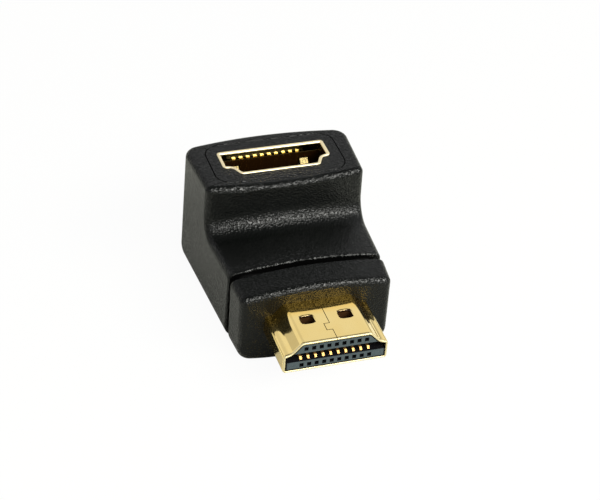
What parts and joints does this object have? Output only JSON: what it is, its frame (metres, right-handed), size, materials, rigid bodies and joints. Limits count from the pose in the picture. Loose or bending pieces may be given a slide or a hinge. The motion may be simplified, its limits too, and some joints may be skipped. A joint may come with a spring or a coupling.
{
  "type": "right angle digital video adapter",
  "caption": "Black moulded elbow adapter that turns a flat digital video plug into a socket facing up, with gold plated shells and contacts.",
  "frame": {"origin": "centre of the bounding box, on its underside, where the adapter rests", "axes": "plug faces -Y, socket opens +Z, X runs across both connectors"},
  "size_m": [0.0232, 0.034, 0.0179],
  "materials": {
    "black_pvc": "fine spark-eroded grain, satin",
    "core_plastic": "plain, matt",
    "gold_plating": "bright gold plated sheet",
    "contact_gold": "bright gold plated strip",
    "insulator_plastic": "smooth, slightly glossy",
    "board_laminate": "solder mask",
    "solder": "bright tin"
  },
  "bodies": {
    "root": {"elbow_overmould": "black_pvc", "nose_overmould": "black_pvc", "socket_face_insert": "black_pvc", "inner_premould": "core_plastic", "plug_shell": "gold_plating", "socket_shell": "gold_plating", "plug_insulator": "insulator_plastic", "socket_insulator": "insulator_plastic", "circuit_board": "board_laminate", "plug_solder": "solder", "socket_solder": "solder", "leg_solder": "solder", "plug_contact_01": "contact_gold", "plug_contact_02": "contact_gold", "plug_contact_03": "contact_gold", "plug_contact_04": "contact_gold", "plug_contact_05": "contact_gold", "plug_contact_06": "contact_gold", "plug_contact_07": "contact_gold", "plug_contact_08": "contact_gold", "plug_contact_09": "contact_gold", "plug_contact_10": "contact_gold", "plug_contact_11": "contact_gold", "plug_contact_12": "contact_gold", "plug_contact_13": "contact_gold", "plug_contact_14": "contact_gold", "plug_contact_15": "contact_gold", "plug_contact_16": "contact_gold", "plug_contact_17": "contact_gold", "plug_contact_18": "contact_gold", "plug_contact_19": "contact_gold", "socket_contact_01": "contact_gold", "socket_contact_02": "contact_gold", "socket_contact_03": "contact_gold", "socket_contact_04": "contact_gold", "socket_contact_05": "contact_gold", "socket_contact_06": "contact_gold", "socket_contact_07": "contact_gold", "socket_contact_08": "contact_gold", "socket_contact_09": "contact_gold", "socket_contact_10": "contact_gold", "socket_contact_11": "contact_gold", "socket_contact_12": "contact_gold", "socket_contact_13": "contact_gold", "socket_contact_14": "contact_gold", "socket_contact_15": "contact_gold", "socket_contact_16": "contact_gold", "socket_contact_17": "contact_gold", "socket_contact_18": "contact_gold", "socket_contact_19": "contact_gold"}
  },
  "joints": []
}
